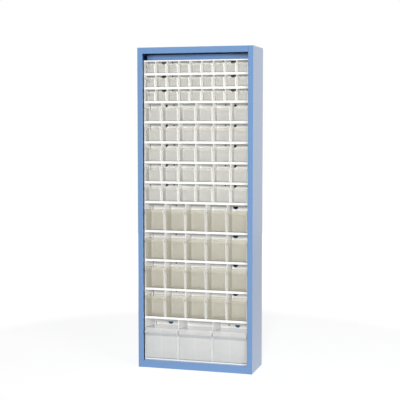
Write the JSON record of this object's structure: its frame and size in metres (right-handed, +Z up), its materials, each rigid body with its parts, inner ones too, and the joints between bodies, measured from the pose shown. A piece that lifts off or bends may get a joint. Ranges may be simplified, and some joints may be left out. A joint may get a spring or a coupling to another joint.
{
  "type": "small parts cabinet with tilting bins",
  "caption": "Tall open-fronted sheet steel cabinet holding stacked housings of clear bins that tip forward, small at the top and large at the bottom.",
  "frame": {"origin": "centre of the cabinet's underside", "axes": "+X across the front to the right, +Y from the front to the back, +Z up"},
  "size_m": [0.662, 0.2464, 1.8],
  "materials": {
    "cabinet_paint": "satin light blue powder coat",
    "housing_plastic": "smooth white moulded plastic",
    "bin_plastic": "clear moulded plastic with a faint warm tint",
    "large_bin_plastic": "clear moulded plastic",
    "zinc_plated_steel": "zinc plate",
    "black_zinc_steel": "black passivated zinc plate"
  },
  "bodies": {
    "cabinet": {"left_side_panel": "cabinet_paint", "right_side_panel": "cabinet_paint", "top_panel": "cabinet_paint", "bottom_panel": "cabinet_paint", "back_panel": "cabinet_paint", "upper_mounting_panel": "cabinet_paint", "middle_mounting_panel": "cabinet_paint", "lower_mounting_panel": "cabinet_paint", "base_mounting_rail": "cabinet_paint", "back_rivets": "zinc_plated_steel", "panel_rivets": "zinc_plated_steel", "housing_screws": "black_zinc_steel", "housing_row_01": "housing_plastic", "housing_row_02": "housing_plastic", "housing_row_03": "housing_plastic", "housing_row_04": "housing_plastic", "housing_row_05": "housing_plastic", "housing_row_06": "housing_plastic", "housing_row_07": "housing_plastic", "housing_row_08": "housing_plastic", "housing_row_09": "housing_plastic", "housing_row_10": "housing_plastic", "housing_row_11": "housing_plastic", "housing_row_12": "housing_plastic", "housing_row_13": "housing_plastic"},
    "bin_row_13_1": {"bin_row_13_1": "large_bin_plastic"},
    "bin_row_13_2": {"bin_row_13_2": "large_bin_plastic"},
    "bin_row_13_3": {"bin_row_13_3": "large_bin_plastic"},
    "bins_row_01": {"bins_row_01": "bin_plastic"},
    "bins_row_02": {"bins_row_02": "bin_plastic"},
    "bins_row_03": {"bins_row_03": "bin_plastic"},
    "bins_row_04": {"bins_row_04": "bin_plastic"},
    "bins_row_05": {"bins_row_05": "bin_plastic"},
    "bins_row_06": {"bins_row_06": "bin_plastic"},
    "bins_row_07": {"bins_row_07": "bin_plastic"},
    "bins_row_08": {"bins_row_08": "bin_plastic"},
    "bin_row_09_1": {"bin_row_09_1": "bin_plastic"},
    "bin_row_09_2": {"bin_row_09_2": "bin_plastic"},
    "bin_row_09_3": {"bin_row_09_3": "bin_plastic"},
    "bin_row_09_4": {"bin_row_09_4": "bin_plastic"},
    "bin_row_09_5": {"bin_row_09_5": "bin_plastic"},
    "bin_row_10_1": {"bin_row_10_1": "bin_plastic"},
    "bin_row_10_2": {"bin_row_10_2": "bin_plastic"},
    "bin_row_10_3": {"bin_row_10_3": "bin_plastic"},
    "bin_row_10_4": {"bin_row_10_4": "bin_plastic"},
    "bin_row_10_5": {"bin_row_10_5": "bin_plastic"},
    "bin_row_11_1": {"bin_row_11_1": "bin_plastic"},
    "bin_row_11_2": {"bin_row_11_2": "bin_plastic"},
    "bin_row_11_3": {"bin_row_11_3": "bin_plastic"},
    "bin_row_11_4": {"bin_row_11_4": "bin_plastic"},
    "bin_row_11_5": {"bin_row_11_5": "bin_plastic"},
    "bin_row_12_1": {"bin_row_12_1": "bin_plastic"},
    "bin_row_12_2": {"bin_row_12_2": "bin_plastic"},
    "bin_row_12_3": {"bin_row_12_3": "bin_plastic"},
    "bin_row_12_4": {"bin_row_12_4": "bin_plastic"},
    "bin_row_12_5": {"bin_row_12_5": "bin_plastic"}
  },
  "joints": [
    {"name": "tilt_row_13_1", "type": "hinge", "parent": "cabinet", "child": "bin_row_13_1", "pos_m": [-0.19947, -0.09318, 0.053], "axis": [1, 0, 0], "range_deg": [0, 45]},
    {"name": "tilt_row_13_2", "type": "hinge", "parent": "cabinet", "child": "bin_row_13_2", "pos_m": [0, -0.09318, 0.053], "axis": [1, 0, 0], "range_deg": [0, 45]},
    {"name": "tilt_row_13_3", "type": "hinge", "parent": "cabinet", "child": "bin_row_13_3", "pos_m": [0.19947, -0.09318, 0.053], "axis": [1, 0, 0], "range_deg": [0, 45]},
    {"name": "tilt_row_01", "type": "hinge", "parent": "cabinet", "child": "bins_row_01", "pos_m": [0, -0.09318, 1.663], "axis": [1, 0, 0], "range_deg": [0, 45]},
    {"name": "tilt_row_02", "type": "hinge", "parent": "cabinet", "child": "bins_row_02", "pos_m": [0, -0.09318, 1.586], "axis": [1, 0, 0], "range_deg": [0, 45]},
    {"name": "tilt_row_03", "type": "hinge", "parent": "cabinet", "child": "bins_row_03", "pos_m": [0, -0.09318, 1.509], "axis": [1, 0, 0], "range_deg": [0, 45]},
    {"name": "tilt_row_04", "type": "hinge", "parent": "cabinet", "child": "bins_row_04", "pos_m": [0, -0.09318, 1.397], "axis": [1, 0, 0], "range_deg": [0, 45]},
    {"name": "tilt_row_05", "type": "hinge", "parent": "cabinet", "child": "bins_row_05", "pos_m": [0, -0.09318, 1.285], "axis": [1, 0, 0], "range_deg": [0, 45]},
    {"name": "tilt_row_06", "type": "hinge", "parent": "cabinet", "child": "bins_row_06", "pos_m": [0, -0.09318, 1.173], "axis": [1, 0, 0], "range_deg": [0, 45]},
    {"name": "tilt_row_07", "type": "hinge", "parent": "cabinet", "child": "bins_row_07", "pos_m": [0, -0.09318, 1.061], "axis": [1, 0, 0], "range_deg": [0, 45]},
    {"name": "tilt_row_08", "type": "hinge", "parent": "cabinet", "child": "bins_row_08", "pos_m": [0, -0.09318, 0.949], "axis": [1, 0, 0], "range_deg": [0, 45]},
    {"name": "tilt_row_09_1", "type": "hinge", "parent": "cabinet", "child": "bin_row_09_1", "pos_m": [-0.23936, -0.09318, 0.785], "axis": [1, 0, 0], "range_deg": [0, 45]},
    {"name": "tilt_row_09_2", "type": "hinge", "parent": "cabinet", "child": "bin_row_09_2", "pos_m": [-0.11968, -0.09318, 0.785], "axis": [1, 0, 0], "range_deg": [0, 45]},
    {"name": "tilt_row_09_3", "type": "hinge", "parent": "cabinet", "child": "bin_row_09_3", "pos_m": [0, -0.09318, 0.785], "axis": [1, 0, 0], "range_deg": [0, 45]},
    {"name": "tilt_row_09_4", "type": "hinge", "parent": "cabinet", "child": "bin_row_09_4", "pos_m": [0.11968, -0.09318, 0.785], "axis": [1, 0, 0], "range_deg": [0, 45]},
    {"name": "tilt_row_09_5", "type": "hinge", "parent": "cabinet", "child": "bin_row_09_5", "pos_m": [0.23936, -0.09318, 0.785], "axis": [1, 0, 0], "range_deg": [0, 45]},
    {"name": "tilt_row_10_1", "type": "hinge", "parent": "cabinet", "child": "bin_row_10_1", "pos_m": [-0.23936, -0.09318, 0.621], "axis": [1, 0, 0], "range_deg": [0, 45]},
    {"name": "tilt_row_10_2", "type": "hinge", "parent": "cabinet", "child": "bin_row_10_2", "pos_m": [-0.11968, -0.09318, 0.621], "axis": [1, 0, 0], "range_deg": [0, 45]},
    {"name": "tilt_row_10_3", "type": "hinge", "parent": "cabinet", "child": "bin_row_10_3", "pos_m": [0, -0.09318, 0.621], "axis": [1, 0, 0], "range_deg": [0, 45]},
    {"name": "tilt_row_10_4", "type": "hinge", "parent": "cabinet", "child": "bin_row_10_4", "pos_m": [0.11968, -0.09318, 0.621], "axis": [1, 0, 0], "range_deg": [0, 45]},
    {"name": "tilt_row_10_5", "type": "hinge", "parent": "cabinet", "child": "bin_row_10_5", "pos_m": [0.23936, -0.09318, 0.621], "axis": [1, 0, 0], "range_deg": [0, 45]},
    {"name": "tilt_row_11_1", "type": "hinge", "parent": "cabinet", "child": "bin_row_11_1", "pos_m": [-0.23936, -0.09318, 0.457], "axis": [1, 0, 0], "range_deg": [0, 45]},
    {"name": "tilt_row_11_2", "type": "hinge", "parent": "cabinet", "child": "bin_row_11_2", "pos_m": [-0.11968, -0.09318, 0.457], "axis": [1, 0, 0], "range_deg": [0, 45]},
    {"name": "tilt_row_11_3", "type": "hinge", "parent": "cabinet", "child": "bin_row_11_3", "pos_m": [0, -0.09318, 0.457], "axis": [1, 0, 0], "range_deg": [0, 45]},
    {"name": "tilt_row_11_4", "type": "hinge", "parent": "cabinet", "child": "bin_row_11_4", "pos_m": [0.11968, -0.09318, 0.457], "axis": [1, 0, 0], "range_deg": [0, 45]},
    {"name": "tilt_row_11_5", "type": "hinge", "parent": "cabinet", "child": "bin_row_11_5", "pos_m": [0.23936, -0.09318, 0.457], "axis": [1, 0, 0], "range_deg": [0, 45]},
    {"name": "tilt_row_12_1", "type": "hinge", "parent": "cabinet", "child": "bin_row_12_1", "pos_m": [-0.23936, -0.09318, 0.293], "axis": [1, 0, 0], "range_deg": [0, 45]},
    {"name": "tilt_row_12_2", "type": "hinge", "parent": "cabinet", "child": "bin_row_12_2", "pos_m": [-0.11968, -0.09318, 0.293], "axis": [1, 0, 0], "range_deg": [0, 45]},
    {"name": "tilt_row_12_3", "type": "hinge", "parent": "cabinet", "child": "bin_row_12_3", "pos_m": [0, -0.09318, 0.293], "axis": [1, 0, 0], "range_deg": [0, 45]},
    {"name": "tilt_row_12_4", "type": "hinge", "parent": "cabinet", "child": "bin_row_12_4", "pos_m": [0.11968, -0.09318, 0.293], "axis": [1, 0, 0], "range_deg": [0, 45]},
    {"name": "tilt_row_12_5", "type": "hinge", "parent": "cabinet", "child": "bin_row_12_5", "pos_m": [0.23936, -0.09318, 0.293], "axis": [1, 0, 0], "range_deg": [0, 45]}
  ]
}
